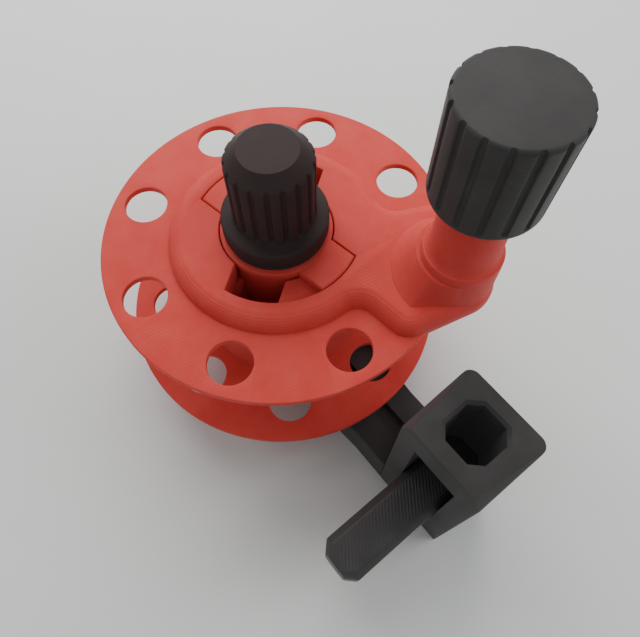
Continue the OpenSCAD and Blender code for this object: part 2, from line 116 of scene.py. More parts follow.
class ReelSpoolSizes(bpy.types.PropertyGroup):
    plate_radius: length("Plate radius", "Radius of the two round plates", 50)
    plate_thickness: length("Plate thickness", "Thickness of a plate", 2)
    drum_radius: length("Drum radius", "Outer radius of the drum under the line", 27)
    drum_wall: length("Drum wall", "Wall of the drum", 2)
    floor: length("Drum floor", "Thickness of the drum's floor", 5)
    hole_ring: length("Upper hole circle", "Radius of the circle of the upper plate's holes", 40.5)
    hole_radius: length("Upper hole radius", "Radius of a hole in the upper plate", 6.15)
    low_ring: length("Lower hole circle", "Radius of the circle of the lower plate's holes", 37.35)
    low_radius: length("Lower hole radius", "Radius of a hole in the lower plate", 6.6)
    hole_lip: length("Hole lip", "Rounding of a hole's lip", 0.35)
    holes: IntProperty(name="Hole places", description="Places for holes round a plate", default=8)
    ribs: IntProperty(name="Ribs", description="Ribs inside the drum", default=6)


class ReelBayonetSizes(bpy.types.PropertyGroup):
    disc_radius: length("Hub top radius", "Radius of the hub's round top", 15.8)
    hub_radius: length("Hub radius", "Radius of the hub below its top", 15.4)
    bush_radius: length("Bush bore", "Radius of the bore for a bush", 6.06)
    flange_radius: length("Flange recess", "Radius of the recess for a bush's flange", 8.66)
    flange_depth: length("Flange depth", "Depth of the recess for a bush's flange", 1.5)
    lug_reach: length("Lug reach", "Radius that a lug reaches", 23.6)
    lug_width: length("Lug width", "Width of a lug", 13.6)
    lug_thickness: length("Lug thickness", "Thickness of a lug", 2.9)
    gap: length("Lug gap", "Gap round a lug", 0.3)
    twist: angle_property("Twist", "Turn from the pass slot to the locked place", 65)


class ReelCrownSizes(bpy.types.PropertyGroup):
    radius: length("Crown radius", "Radius of the crown's foot", 31)
    edge: length("Rounded edge", "Width of the crown's rounded edge", 4.7)
    fan_half: angle_property("Fan half angle", "Half the angle of the fan under the handle", 28.3)
    edge_angle: angle_property("Fan edge angle", "Angle of the fan's outer edges to the handle", 41)
    foot_fillet: length("Foot fillet", "Fillet between the crown and its fan", 5)
    rim_fillet: length("Rim corner", "Rounding of the fan's outer corner", 6)
    lobe_radius: length("Lobe radius", "Radius of the lobe round the handle", 11.5)
    collar_radius: length("Collar radius", "Radius of the handle's collar", 10.6)
    collar_height: length("Collar height", "Height of the collar above the plate", 15.5)
    post_radius: length("Post radius", "Radius of the handle's post", 9.1)


class ReelKnobSizes(bpy.types.PropertyGroup):
    foot_radius: length("Winding knob foot", "Radius of the winding knob at its foot", 13.3)
    top_radius: length("Winding knob top", "Radius of the winding knob under its rounded edge", 13.4)
    top_edge: length("Winding knob edge", "Rounding of the winding knob's top edge", 1)
    bore: length("Winding knob bore", "Radius of the bore for the knob's bush", 4.56)
    well_radius: length("Well radius", "Radius of the well for the lock nut", 6.96)
    grip_radius: length("Drag knob grip", "Radius of the drag knob's grip", 11.3)
    collar_radius: length("Drag knob collar", "Radius of the drag knob's collar", 14.7)
    collar_height: length("Drag collar height", "Height of the drag knob's collar", 5.4)
    drag_bevel: length("Drag knob bevel", "Bevel at the drag knob's top", 3.7)
    flutes: IntProperty(name="Winding knob flutes", description="Flutes round the winding knob", default=16)
    drag_flutes: IntProperty(name="Drag knob flutes", description="Flutes round the drag knob", default=18)
    flute_width: length("Flute width", "Width of a flute", 2)
    flute_depth: length("Flute depth", "Depth of a flute", 0.75)


class ReelBlockSizes(bpy.types.PropertyGroup):
    slope_width: length("Slope width", "Width of the block's slopes at their near ends", 2.7)
    slope_drop: length("Slope drop", "Height of the block's slopes at their near ends", 5.5)
    corner: length("Block corner", "Radius of the block's upright corners", 2.8)
    socket_width: length("Socket width", "Width of the rod socket across its flats", 13)
    socket_corner: length("Socket corner", "Cut across a corner of the socket", 3)
    socket_depth: length("Socket depth", "Depth of the rod socket", 28.5)
    socket_bevel: length("Socket bevel", "Bevel round the socket's mouth", 0.8)
    slot_head: length("Slot head", "Height of the slot's head above the peg", 21.5)
    peg_gap: length("Peg gap", "Gap round the peg in its slot", 0.2)
    peg_edge: length("Peg edge", "Cut along the peg's edges", 2)
    groove_width: length("Arm groove", "Width of the groove along the arm's top", 5)
    groove_depth: length("Arm groove depth", "Depth of that groove", 2)
    pad_radius: length("Arm pad", "Radius of the arm's round end", 15)
    bolt_hole: length("Bolt hole", "Radius of the spindle's hole in the arm", 4.1)
    hex_recess: length("Hex recess", "Radius to the corners of the hexagon recesses", 7.42)
    hex_depth: length("Hex depth", "Depth of the hexagon recesses", 5.5)


class ReelFinish(bpy.types.PropertyGroup):
    red: colour_property("Red print", "Colour of the red printed pieces", "CE423C")
    red_worn: colour_property("Red print, paler", "Paler patches of the red", "D34D46")
    black: colour_property("Black print", "Colour of the black printed pieces", "3B3938")
    black_worn: colour_property("Black print, paler", "Paler patches of the black", "42403F")
    # The drag knob's black is a darker, warmer copy of the black print, which paints shade on the drag knob
    shaded_black: colour_property("Black print with painted shade", "Colour of the drag knob", "3B3130")
    shaded_black_worn: colour_property("Black print with painted shade, paler", "Paler patches of the drag knob", "403534")
    steel: colour_property("Zinc", "Colour of the zinc plating", "B4B8BE")
    brass: colour_property("Brass", "Colour of the brass bushes", "C8A04E")
    nylon: colour_property("Nylon", "Colour of the nylon washer", "E6E0D0")
    felt: colour_property("Felt", "Colour of the felt washer", "36322F")
    floor: colour_property("Floor", "Colour of the floor", "E2E3E0")


class ReelView(bpy.types.PropertyGroup):
    place: FloatVectorProperty(name="Camera place", description="Where the camera stands",
                               default=(0.0819, -0.0507, 0.1959), subtype="TRANSLATION", unit="LENGTH")
    tilt: angle_property("Camera tilt", "Lean of the camera from looking straight down", 26.15)
    turn: angle_property("Camera turn", "Turn of the camera round the upright axis", 51)
    lens: FloatProperty(name="Lens", description="Focal length for a 36 mm wide sensor", default=33.21)


# Materials

RED = "Red printed PLA"
BLACK = "Black printed PLA"
COARSE_BLACK = "Black printed PLA, coarse runs"
# A darker, warmer copy of the black print, with less gloss and no sheen: painted shade on the drag knob
SHADED_BLACK = "Black printed PLA, painted shade"


def linear(code):
    """Linear colour from an sRGB hex code."""
    parts = [int(code[i:i + 2], 16) / 255 for i in (0, 2, 4)]
    return [p / 12.92 if p <= 0.04045 else ((p + 0.055) / 1.055) ** 2.4 for p in parts] + [1.0]


def node(tree, kind, inputs=None, **settings):
    """Add a node, set it up, and fill or link its inputs."""
    made = tree.nodes.new(kind)
    for key, value in settings.items():
        setattr(made, key, value)
    for key, value in (inputs or {}).items():
        if isinstance(value, bpy.types.NodeSocket):
            tree.links.new(value, made.inputs[key])
        else:
            made.inputs[key].default_value = value
    return made


def new_material(name):
    """An empty node material, its tree and the place on the piece."""
    made = bpy.data.materials.new(name)
    made.use_nodes = True
    tree = made.node_tree
    tree.nodes.clear()
    return made, tree, node(tree, "ShaderNodeTexCoord").outputs["Object"]


def close_material(tree, inputs):
    """End a material's tree in a surface shader."""
    shader = node(tree, "ShaderNodeBsdfPrincipled", inputs)
    node(tree, "ShaderNodeOutputMaterial", {"Surface": shader.outputs["BSDF"]})


def cloud(tree, place, size, detail, **more):
    """Cloudy noise, with its grain of a given size."""
    inputs = {"Vector": place, "Scale": 1 / size, "Detail": detail, **more}
    return node(tree, "ShaderNodeTexNoise", inputs).outputs["Fac"]


def bands(tree, place, pitch, way, inputs):
    """Fine waves across an axis, a pitch apart."""
    inputs = {"Vector": place, "Scale": pi / 10 / pitch, **inputs}
    return node(tree, "ShaderNodeTexWave", inputs, wave_type="BANDS", bands_direction=way).outputs["Fac"]


def ranged(tree, value, ends=(0.0, 1.0), to=(0.0, 1.0)):
    """A value taken from one range to another, and held at the ends."""
    inputs = {"Value": value, "From Min": ends[0], "From Max": ends[1], "To Min": to[0], "To Max": to[1]}
    return node(tree, "ShaderNodeMapRange", inputs).outputs["Result"]


def times(tree, a, b):
    """The product of two values."""
    return node(tree, "ShaderNodeMath", {0: a, 1: b}, operation="MULTIPLY").outputs[0]


def bump(tree, height, distance, strength, under=None):
    """A normal that is pushed by a height, on top of another normal if one is given."""
    inputs = {"Strength": strength, "Distance": distance, "Height": height}
    if under is not None:
        inputs["Normal"] = under
    return node(tree, "ShaderNodeBump", inputs).outputs["Normal"]


def shaded(tree, colour, value):
    """A colour made darker or lighter by a value."""
    return node(tree, "ShaderNodeHueSaturation", {"Color": linear(colour), "Value": value}).outputs["Color"]


def printed_pla(name, colour, paler, rough, gloss, dust, step, run, run_turn):
    """PLA laid down in layers: satin, with level lines on its sides and the nozzle's runs on its flat tops.

    The layers of a real print are 0.2 mm; they are drawn about twice as coarse, so that they show.
    """
    layer = 0.42 * MM
    run_width = 0.9 * MM
    made, tree, place = new_material(name)
    patch = cloud(tree, place, 9 * MM, 4.0, Roughness=0.6)
    tone = ranged(tree, patch, (0.35, 0.68))
    mixed = node(tree, "ShaderNodeMix", {0: tone, 6: linear(colour), 7: linear(paler)}, data_type="RGBA")
    layers = bands(tree, place, layer, "Z", {"Distortion": 0.25, "Detail": 1.0, "Detail Scale": 0.4})
    along = node(tree, "ShaderNodeMapping", {"Vector": place, "Rotation": (0, 0, run_turn)}).outputs["Vector"]
    runs = bands(tree, along, run_width, "X", {"Distortion": 0.5, "Detail": 1.0, "Detail Scale": 0.5})
    facing = node(tree, "ShaderNodeSeparateXYZ", {0: node(tree, "ShaderNodeNewGeometry").outputs["Normal"]})
    level = node(tree, "ShaderNodeMath", {0: facing.outputs["Z"]}, operation="ABSOLUTE").outputs[0]
    flat = ranged(tree, level, (0.985, 0.999))
    fade = ranged(tree, patch, (0.4, 0.62), (0.25, 1.0))
    seen_runs = times(tree, runs, times(tree, flat, fade))
    sides = bump(tree, layers, 0.09 * MM, step)
    tops = bump(tree, seen_runs, run, 1.0, sides)
    grain = bump(tree, cloud(tree, place, 0.6 * MM, 3.0), 0.05 * MM, 0.25, tops)
    close_material(tree, {"Base Color": mixed.outputs[2], "Specular IOR Level": gloss,
                          "Roughness": ranged(tree, patch, to=(rough - 0.06, rough + 0.1)),
                          "Sheen Weight": dust, "Sheen Roughness": 0.5, "Normal": grain})
    return made


def turned_metal(name, colour, rough):
    """Machined metal: bright, with fine turning marks and a few dull patches."""
    made, tree, place = new_material(name)
    marks = bands(tree, place, 0.5 * MM, "Z", {"Distortion": 0.6})
    dull = cloud(tree, place, 3 * MM, 4.0)
    close_material(tree, {"Base Color": linear(colour), "Metallic": 1.0,
                          "Roughness": ranged(tree, dull, to=(rough - 0.08, rough + 0.14)),
                          "Normal": bump(tree, marks, 0.03 * MM, 0.2)})
    return made


def soft_washer(name, colour, rough, grain_size, depth):
    """A washer of felt or nylon: dull, with its fibre or moulding grain as fine bumps."""
    made, tree, place = new_material(name)
    grain = cloud(tree, place, grain_size, 5.0)
    base = shaded(tree, colour, ranged(tree, grain, to=(0.8, 1.1)))
    close_material(tree, {"Base Color": base, "Roughness": rough, "Normal": bump(tree, grain, depth, 0.5)})
    return made


def plain_floor(name, colour):
    """A matt table cover, with a faint cloudy tone."""
    made, tree, place = new_material(name)
    tone = ranged(tree, cloud(tree, place, 60 * MM, 3.0), to=(0.96, 1.03))
    close_material(tree, {"Base Color": shaded(tree, colour, tone), "Roughness": 0.9})
    return made


def finish(name):
    """A finish by its name, made the first time that it is asked for."""
    if name in bpy.data.materials:
        return bpy.data.materials[name]
    look = bpy.context.scene.reel_finish
    if name == RED:
        return printed_pla(name, look.red, look.red_worn, rough=0.46, gloss=0.07, dust=0.04,
                           step=0.55, run=0.03 * MM, run_turn=radians(12))
    if name == BLACK:
        return printed_pla(name, look.black, look.black_worn, rough=0.5, gloss=0.1, dust=0.06,
                           step=0.2, run=0.006 * MM, run_turn=radians(6))
    if name == COARSE_BLACK:
        return printed_pla(name, look.black, look.black_worn, rough=0.42, gloss=0.2, dust=0.06,
                           step=0.2, run=0.2 * MM, run_turn=radians(-52))
    # Painted shade: the black print made darker and warmer, with less gloss and no sheen, for the drag knob
    if name == SHADED_BLACK:
        return printed_pla(name, look.shaded_black, look.shaded_black_worn, rough=0.5, gloss=0.06, dust=0.0,
                           step=0.2, run=0.01 * MM, run_turn=radians(6))
    if name == "Zinc plated steel":
        return turned_metal(name, look.steel, rough=0.3)
    if name == "Turned brass":
        return turned_metal(name, look.brass, rough=0.28)
    if name == "Moulded nylon":
        return soft_washer(name, look.nylon, rough=0.45, grain_size=0.8 * MM, depth=0.02 * MM)
    if name == "Pressed wool felt":
        return soft_washer(name, look.felt, rough=0.95, grain_size=0.35 * MM, depth=0.12 * MM)
    raise RuntimeError("no finish called " + name)


SLOTS = {"red_print": RED, "black_print": BLACK, "zinc_steel": "Zinc plated steel", "brass": "Turned brass",
         "nylon": "Moulded nylon", "felt": "Pressed wool felt"}


# Mesh making

def piece_from(name, made):
    """A new object from a bmesh, with its faces pointing outwards."""
    bmesh.ops.remove_doubles(made, verts=made.verts, dist=1e-7)
    bmesh.ops.recalc_face_normals(made, faces=made.faces)
    mesh = bpy.data.meshes.new(name)
    made.to_mesh(mesh)
    made.free()
    piece = bpy.data.objects.new(name, mesh)
    bpy.context.scene.collection.objects.link(piece)
    return piece


def skin(name, rings, closed=False):
    """A body over rings of points; it is capped at both ends, or its last ring meets its first."""
    made = bmesh.new()
    rows = [[made.verts.new(p) for p in ring] for ring in rings]
    pairs = list(zip(rows, rows[1:]))
    if closed:
        pairs.append((rows[-1], rows[0]))
    else:
        for cap in (rows[0], rows[-1]):
            if len(cap) > 2:
                made.faces.new(cap)
    for a, b in pairs:
        for i in range(max(len(a), len(b))):
            j = (i + 1) % max(len(a), len(b))
            corners = [a[i % len(a)], a[j % len(a)], b[j % len(b)], b[i % len(b)]]
            made.faces.new(list(dict.fromkeys(corners)))
    return piece_from(name, made)


def lathe(name, profile, steps=128, centre=(0, 0), closed=False):
    """A round body from points of radius and height; a point on the axis is one vertex."""
    rings = []
    for r, z in profile:
        turns = steps if r > 1e-6 else 1
        rings.append([(centre[0] + r * cos(2 * pi * i / steps), centre[1] + r * sin(2 * pi * i / steps), z)
                      for i in range(turns)])
    return skin(name, rings, closed)


def prism(name, outline, z0, z1):
    """An upright body over a flat outline."""
    return skin(name, [[(x, y, z) for x, y in outline] for z in (z0, z1)])


def box(name, a, b):
    """A body between two corners."""
    return prism(name, [(a[0], a[1]), (b[0], a[1]), (b[0], b[1]), (a[0], b[1])], a[2], b[2])


def corner(r0, z0, r1, z1, steps=4):
    """Points of a quarter round between two profile points; it bulges towards the first one's radius."""
    return [(r0 + (r1 - r0) * (1 - cos(pi / 2 * i / steps)), z0 + (z1 - z0) * sin(pi / 2 * i / steps))
            for i in range(steps + 1)]


def arc(centre, r, a, b, steps, first=0):
    """Points of an arc between two angles."""
    return [(centre[0] + r * cos(a + (b - a) * i / steps), centre[1] + r * sin(a + (b - a) * i / steps))
            for i in range(first, steps + 1)]


def fluted(name, profile, sunk_from, depth, width, shoulder, count, foot, centre=(0, 0), turn=0.0,
           closed=False):
    """A round body with grooves from a height upwards; they run out where the body gets narrower."""
    half = pi / count
    run_out = 0.9 * MM
    wide = width / 2 / sunk_from
    soft = shoulder / sunk_from
    shape = [(t * (wide - soft), 1.0) for t in (0, 0.5)]
    shape += [(wide - soft + soft * i / 5, (1 + cos(pi * i / 5)) / 2) for i in range(6)]
    shape += [(wide + (half - wide) * t, 0.0) for t in (0.33, 0.66, 1)]
    shape = [(-a, d) for a, d in shape[-2:0:-1]] + shape
    rings = []
    for r, z in profile:
        if r < 1e-6:
            rings.append([(centre[0], centre[1], z)])
            continue
        open_here = min(max((z - foot) / run_out, 0.0), 1.0)
        ring = []
        for i in range(count):
            for a, d in shape:
                angle = turn + 2 * half * i + a
                reach = min(r, sunk_from - depth * d * open_here) if z > foot else r
                ring.append((centre[0] + reach * cos(angle), centre[1] + reach * sin(angle), z))
        rings.append(ring)
    return skin(name, rings, closed)


def round_corners(x0, x1, half, far, near):
    """A flat rectangle with rounded corners, of one radius on its far side and another on its near side."""
    flat = arc((x1 - far, half - far), far, 0, pi / 2, 8) + arc((x0 + far, half - far), far, pi / 2, pi, 8)
    flat += arc((x0 + near, near - half), near, pi, 1.5 * pi, 3)
    return flat + arc((x1 - near, near - half), near, 1.5 * pi, 2 * pi, 3)


def hexagon(r):
    """A flat hexagon, by the radius to its corners."""
    return [(r * cos(pi / 3 * i), r * sin(pi / 3 * i)) for i in range(6)]


def plate_rim(rim, z0, z1):
    """Profile of a plate's rim, rounded at both faces."""
    lower = corner(rim, z0, rim - PLATE_EASE, z0 + PLATE_EASE)
    upper = corner(rim, z1 - PLATE_EASE, rim - PLATE_EASE, z1)
    return [(r, 2 * z0 + PLATE_EASE - z) for r, z in reversed(lower)] + upper


def lip_up(radius, lip, face):
    """Profile of a hole's rounded lip at an upper face."""
    return [(r, face - lip + (z - face)) for r, z in corner(radius, face, radius + lip, face + lip)]


def countersink(head, shank, face, end):
    """Profile of a screw's hole with a sunk head, from under a lower face."""
    slope = face + 0.3 * MM
    cone_end = slope + head - shank
    return [(0, face - MM), (head, face - MM), (head, slope), (shank, cone_end), (shank, end), (0, end)]


def between(a, b, steps):
    """Points from one profile point to another, without the first."""
    return [(a[0] + (b[0] - a[0]) * i / steps, a[1] + (b[1] - a[1]) * i / steps) for i in range(1, steps + 1)]


def turned(points, angle, centre=(0, 0)):
    """Flat points turned about the origin and then moved."""
    return [(centre[0] + x * cos(angle) - y * sin(angle), centre[1] + x * sin(angle) + y * cos(angle))
            for x, y in points]


def baked(piece):
    """Turn a piece's modifiers into its mesh."""
    seen = piece.evaluated_get(bpy.context.evaluated_depsgraph_get())
    mesh = bpy.data.meshes.new_from_object(seen)
    old = piece.data
    piece.modifiers.clear()
    piece.data = mesh
    bpy.data.meshes.remove(old)


def joined(piece, others, operation):
    """Add other bodies to a piece, or cut them from it."""
    for other in others:
        made = piece.modifiers.new("Join", "BOOLEAN")
        made.object = other
        made.operation = operation
        made.solver = "EXACT"
        baked(piece)
        spent(other)


def spent(piece):
    """Remove a helper body."""
    mesh = piece.data
    bpy.data.objects.remove(piece, do_unlink=True)
    bpy.data.meshes.remove(mesh)


def eased(piece, width, segments=3, angle=30):
    """Round a piece's sharp edges."""
    made = piece.modifiers.new("Edges", "BEVEL")
    made.width = width
    made.segments = segments
    made.limit_method = "ANGLE"
    made.angle_limit = radians(angle)
    made.miter_outer = "MITER_ARC"
    baked(piece)


def tree_socket(tree, name, way, kind, default=None):
    """Add a socket to a node tree."""
    made = tree.interface.new_socket(name=name, in_out=way, socket_type="NodeSocket" + kind)
    if default is not None:
        made.default_value = default


def round_row(operation):
    """A tree that sets copies of a shape round a circle and cuts them from a piece or adds them to it."""
    name = "Row round a circle, " + operation.lower()
    if name in bpy.data.node_groups:
        return bpy.data.node_groups[name]
    tree = bpy.data.node_groups.new(name, "GeometryNodeTree")
    tree_socket(tree, "Piece", "INPUT", "Geometry")
    tree_socket(tree, "Shape", "INPUT", "Object")
    tree_socket(tree, "Count", "INPUT", "Int", 8)
    tree_socket(tree, "Step", "INPUT", "Float", radians(45))
    tree_socket(tree, "Start", "INPUT", "Float", 0.0)
    tree_socket(tree, "Material", "INPUT", "Material")
    tree_socket(tree, "Piece", "OUTPUT", "Geometry")
    given = node(tree, "NodeGroupInput").outputs
    points = node(tree, "GeometryNodePoints", {"Count": given["Count"]})
    place = node(tree, "GeometryNodeInputIndex").outputs[0]
    angle = node(tree, "ShaderNodeMath", {0: place, 1: given["Step"], 2: given["Start"]},
                 operation="MULTIPLY_ADD").outputs[0]
    turn = node(tree, "ShaderNodeCombineXYZ", {"Z": angle}).outputs[0]
    shape = node(tree, "GeometryNodeObjectInfo", {"Object": given["Shape"]}, transform_space="ORIGINAL")
    copies = node(tree, "GeometryNodeInstanceOnPoints",
                  {"Points": points.outputs[0], "Instance": shape.outputs["Geometry"], "Rotation": turn})
    solid = node(tree, "GeometryNodeRealizeInstances", {0: copies.outputs[0]}).outputs[0]
    work = node(tree, "GeometryNodeMeshBoolean", operation=operation, solver="EXACT")
    first = work.inputs[0] if operation == "DIFFERENCE" else work.inputs[1]
    tree.links.new(given["Piece"], first)
    tree.links.new(solid, work.inputs[1])
    real = node(tree, "GeometryNodeRealizeInstances", {0: work.outputs[0]}).outputs[0]
    coated = node(tree, "GeometryNodeSetMaterial", {"Geometry": real, "Material": given["Material"]})
    node(tree, "NodeGroupOutput", {0: coated.outputs[0]})
    return tree


def in_a_row(piece, shape, operation, count, material, step=None, start=0.0):
    """Set a shape round a circle on a piece, through the tree above."""
    tree = round_row(operation)
    made = piece.modifiers.new("Row", "NODES")
    made.node_group = tree
    values = {"Shape": shape, "Count": count, "Step": step or 2 * pi / count, "Start": start,
              "Material": finish(material)}
    for item in tree.interface.items_tree:
        if item.in_out == "INPUT" and item.name in values:
            made[item.identifier] = values[item.name]
    baked(piece)
    spent(shape)


def cleaned(mesh):
    """Merge the points that cuts left on one another, and drop faces without area."""
    made = bmesh.new()
    made.from_mesh(mesh)
    bmesh.ops.remove_doubles(made, verts=made.verts, dist=0.001 * MM)
    bmesh.ops.dissolve_degenerate(made, edges=made.edges, dist=0.001 * MM)
    made.to_mesh(mesh)
    made.free()


def finished(piece, body, nodes, slot, smooth=32, coat=None):
    """Shade a piece, coat it, and hang it on its body in place of its CAD nodes."""
    cleaned(piece.data)
    if len(piece.data.polygons) < 6:
        raise RuntimeError(piece.name + " came out empty")
    piece.data.materials.clear()
    piece.data.materials.append(finish(coat or SLOTS[slot]))
    piece.data.polygons.foreach_set("material_index", [0] * len(piece.data.polygons))
    piece.data.shade_smooth()
    piece.data.set_sharp_from_angle(angle=radians(smooth))
    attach(piece, body)
    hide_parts(*nodes)


# Pieces

def crown_outline(inset):
    """Outline of the crown with its handle fan, drawn in by a distance."""
    s = bpy.context.scene.reel_crown
    foot_at = -(s.fan_half + asin(s.foot_fillet / (s.radius + s.foot_fillet)))
    foot_r = s.radius + s.foot_fillet
    side = (sin(s.fan_half), cos(s.fan_half))
    out = (sin(s.edge_angle), -cos(s.edge_angle))
    reach = s.lobe_radius - s.rim_fillet + HANDLE_ARM * out[0]
    spread = side[0] * out[1] - side[1] * out[0]
    rim = ((s.rim_fillet * out[1] - side[1] * reach) / spread,
           (side[0] * reach - s.rim_fillet * out[0]) / spread)
    half = arc((0, 0), s.radius - inset, -pi, foot_at, 72)
    half += arc((foot_r * cos(foot_at), foot_r * sin(foot_at)), s.foot_fillet + inset,
                foot_at + pi, pi / 2 - s.fan_half, 14, 1)
    half += arc(rim, s.rim_fillet - inset, -pi / 2 - s.fan_half, s.edge_angle - pi / 2, 18)
    tip = -0.03
    half += arc((HANDLE_ARM, 0), s.lobe_radius - inset, s.edge_angle - pi / 2, tip, 28)
    whole = half + [(x, -y) for x, y in half[:0:-1]]
    return turned(whole, HANDLE_TURN)


def handle_flare(s):
    """The handle's foot: it rises from the fan, inside the fan's straight edges, to a ring at the collar."""
    wide = 17.4 * MM
    rise = 8.2 * MM
    sunk = 2.4 * MM
    margin = 0.9 * MM
    draw_in = 3.3 * MM
    widest_turn = 1.3
    ring_from = 0.45
    ring_blend = 0.5
    ring_radius = s.lobe_radius + 0.1 * MM
    lost = s.collar_radius - 0.1 * MM
    edge_way = pi / 2 - s.edge_angle
    levels = 10
    steps = 144
    rings = []
    for k in range(-1, levels + 1):
        t = max(k, 0) / levels
        z = CROWN_TOP + (0.5 * t + 0.5 * t * t) * rise - (sunk if k < 0 else 0)
        ring = []
        for i in range(steps):
            way = 2 * pi * i / steps - pi
            past = min(max(abs(way) - edge_way, 0.0), widest_turn)
            to_edge = s.lobe_radius - margin - draw_in * past * past
            base = min(to_edge / cos(past), wide)
            ring_here = lost + (ring_radius - lost) * min(max((past - ring_from) / ring_blend, 0.0), 1.0)
            r = base + (min(base, ring_here) - base) * t
            ring.append((r * cos(way), r * sin(way)))
        rings.append([(x, y, z) for x, y in turned(ring, HANDLE_TURN, HANDLE)])
    return skin("Handle_flare", rings)


def crown_body(s, plate_top):
    """The crown with its fan: rounded from its foot in the plate to its flat top."""
    foot = plate_top - 0.4 * MM
    rise = CROWN_TOP - foot
    levels = 12
    rings = [[(x, y, PLATE_LOW + 0.2 * MM) for x, y in crown_outline(0)]]
    for k in range(levels + 1):
        t = pi / 2 * k / levels
        rings.append([(x, y, foot + rise * sin(t)) for x, y in crown_outline(s.edge * (1 - cos(t)))])
    return skin("Crown", rings)


def handle_post(s, plate_top):
    """The handle's collar and the post that the winding knob turns on."""
    foot = PLATE_LOW + 0.35 * MM
    collar = plate_top + s.collar_height
    rounding = 0.6 * MM
    top_r = s.post_radius - 0.5 * MM
    post = [(0, foot), (s.lobe_radius - 0.6 * MM, foot), (s.collar_radius + 0.1 * MM, collar - 3 * MM)]
    post += corner(s.collar_radius, collar - rounding, s.collar_radius - rounding, collar)
    post += [(s.post_radius + 0.35 * MM, collar + 0.7 * MM), (s.post_radius, collar + 1.8 * MM)]
    post += corner(top_r, POST_TOP - rounding, top_r - rounding, POST_TOP)
    return lathe("Handle_post", post + [(0, POST_TOP)], 128, HANDLE)


def bayonet_cutters(lock):
    """What the hub needs free in the crown: its bore, the lugs' rooms and the slots they drop through."""
    bore = lock.disc_radius + lock.gap
    lip = 0.35 * MM
    cut = [(0, PLATE_LOW - MM), (bore, PLATE_LOW - MM)] + lip_up(bore, lip, CROWN_TOP)
    cut += [(bore + lip, CROWN_TOP + MM), (0, CROWN_TOP + MM)]
    cutters = [lathe("Bore_cutter", cut, 160)]
    seat = CROWN_TOP - lock.lug_thickness - 0.1 * MM
    reach = lock.lug_reach + lock.gap
    half = lock.lug_width / 2 + lock.gap
    slots_at = HANDLE_TURN - pi / 2
    for side in (0, pi):
        levels = []
        for z, wider in ((seat, 0), (CROWN_TOP - lip, 0), (CROWN_TOP - 0.4 * lip, 0.3 * lip),
                         (CROWN_TOP, lip), (CROWN_TOP + MM, lip)):
            r = reach + wider
            w = half + wider
            swing = asin(w / r)
            flat = [(0, -w)] + arc((0, 0), r, -swing, lock.twist + swing, 40)
            flat += [(-w * sin(lock.twist), w * cos(lock.twist))]
            levels.append([(x, y, z) for x, y in turned(flat, slots_at + side)])
        cutters.append(skin("Lug_room", levels))
    r = reach - 0.1 * MM
    swing = asin((half - 0.05 * MM) / r)
    through = arc((0, 0), r, -swing, swing, 12) + arc((0, 0), r, pi - swing, pi + swing, 12)
    cutters.append(prism("Lug_pass", turned(through, slots_at), PLATE_LOW - MM, CROWN_TOP + 2 * MM))
    return cutters


def slope_cutter(x, inwards, top, half, wide, drop):
    """What a slope takes off a top edge: its full width at the near end, nothing at the far end."""
    ends = []
    for y in (-half - MM, half + MM):
        share = (half - y) / (2 * half)
        reach = wide * share + MM * wide / drop
        ends.append([(x - inwards * MM, y, top - drop * share - MM * drop / wide),
                     (x + inwards * reach, y, top + MM), (x - inwards * MM, y, top + MM)])
    return skin("Slope_cutter", ends)


def hole_cutter(radius, lip, z0, z1, at):
    """A round cutter that leaves a rounded lip at both faces of a plate."""
    lower = [(r, z0 + lip - (z - z0)) for r, z in reversed(corner(radius, z0, radius + lip, z0 + lip))]
    wide = radius + lip
    profile = [(0, z0 - MM), (wide, z0 - MM)] + lower + lip_up(radius, lip, z1)
    profile += [(wide, z1 + MM), (0, z1 + MM)]
    return lathe("Hole_cutter", profile, 64, at)


class REEL_OT_crank_plate(bpy.types.Operator):
    """Make the upper plate with its crown, bayonet windows and handle post"""
    bl_idname = "reel.crank_plate"
    bl_label = "Crank plate"

    def execute(self, context):
        spool = context.scene.reel_spool
        lock = context.scene.reel_bayonet
        s = context.scene.reel_crown
        plate_top = PLATE_LOW + spool.plate_thickness
        bolt_head = 6.02 * MM
        bolt_seat = PLATE_LOW + 4.4 * MM
        profile = [(0, PLATE_LOW)] + plate_rim(spool.plate_radius, PLATE_LOW, plate_top) + [(0, plate_top)]
        plate = lathe("Crank_plate", profile, 256)
        joined(plate, [crown_body(s, plate_top), handle_flare(s), handle_post(s, plate_top)], "UNION")
        recess = turned(hexagon(bolt_head), HANDLE_TURN, HANDLE)
        cutters = bayonet_cutters(lock)
        cutters.append(prism("Bolt_recess", recess, PLATE_LOW - MM, bolt_seat))
        joined(plate, cutters, "DIFFERENCE")
        hole = hole_cutter(spool.hole_radius, spool.hole_lip, PLATE_LOW, plate_top, (spool.hole_ring, 0))
        step = 2 * pi / spool.holes
        in_a_row(plate, hole, "DIFFERENCE", spool.holes - 1, RED, step, HANDLE_TURN + step)
        finished(plate, "crank", ["crank_plate"], "red_print")
        return {"FINISHED"}


